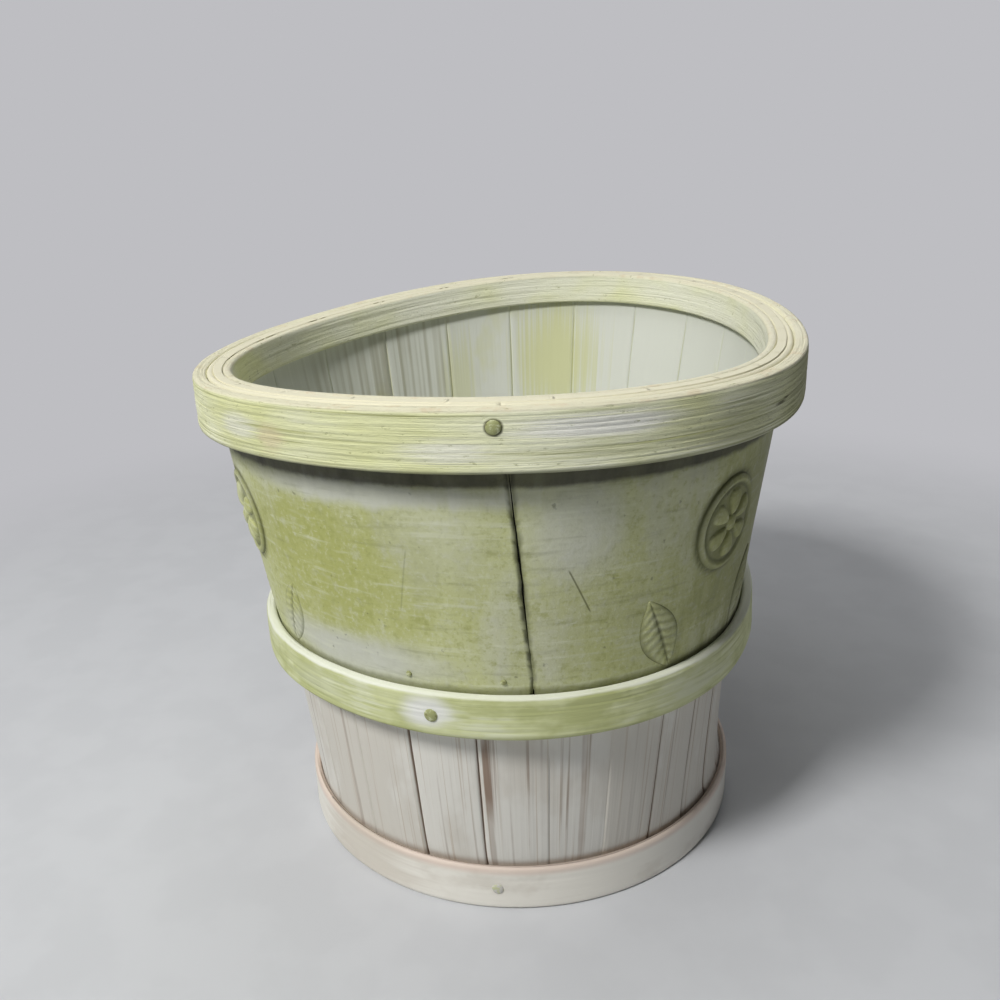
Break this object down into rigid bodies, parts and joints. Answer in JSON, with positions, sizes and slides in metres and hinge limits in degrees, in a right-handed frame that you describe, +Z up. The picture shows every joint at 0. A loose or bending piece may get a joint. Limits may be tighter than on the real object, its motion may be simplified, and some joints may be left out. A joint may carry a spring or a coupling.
{
  "type": "round slat planter",
  "caption": "Round tapered planter of whitewashed wooden slats held by nailed hoops, with a green upper belt carrying flower medallions and an open top.",
  "frame": {"origin": "centre of the foot, on the surface that the planter stands on", "axes": "+Z up along the planter's axis, -Y to the front, where the panel seam is"},
  "size_m": [0.1938, 0.1947, 0.16],
  "materials": {
    "washed_slats": "whitewashed, worn",
    "green_panel": "green wash, worn",
    "rim_wood": "pale green wash",
    "mid_hoop_wood": "yellow-green wash",
    "base_hoop_wood": "cream wash",
    "board_wood": "bare, greyed",
    "nail_paint": "painted over with the wood"
  },
  "bodies": {
    "root": {"stave_01": "washed_slats", "stave_02": "washed_slats", "stave_03": "washed_slats", "stave_04": "washed_slats", "stave_05": "washed_slats", "stave_06": "washed_slats", "stave_07": "washed_slats", "stave_08": "washed_slats", "stave_09": "washed_slats", "stave_10": "washed_slats", "stave_11": "washed_slats", "stave_12": "washed_slats", "stave_13": "washed_slats", "stave_14": "washed_slats", "stave_15": "washed_slats", "stave_16": "washed_slats", "stave_17": "washed_slats", "stave_18": "washed_slats", "stave_19": "washed_slats", "stave_20": "washed_slats", "stave_21": "washed_slats", "stave_22": "washed_slats", "stave_23": "washed_slats", "stave_24": "washed_slats", "left_panel": "green_panel", "right_panel": "green_panel", "left_medallion": "green_panel", "left_front_leaf": "green_panel", "left_back_leaf": "green_panel", "right_medallion": "green_panel", "right_front_leaf": "green_panel", "right_back_leaf": "green_panel", "rim_nails": "nail_paint", "mid_nails": "nail_paint", "base_nails": "nail_paint", "side_brads": "nail_paint", "seam_brads": "nail_paint", "rim_outer_hoop": "rim_wood", "rim_inner_hoop": "rim_wood", "mid_hoop": "mid_hoop_wood", "base_hoop": "base_hoop_wood", "bottom_board": "board_wood"}
  },
  "joints": []
}
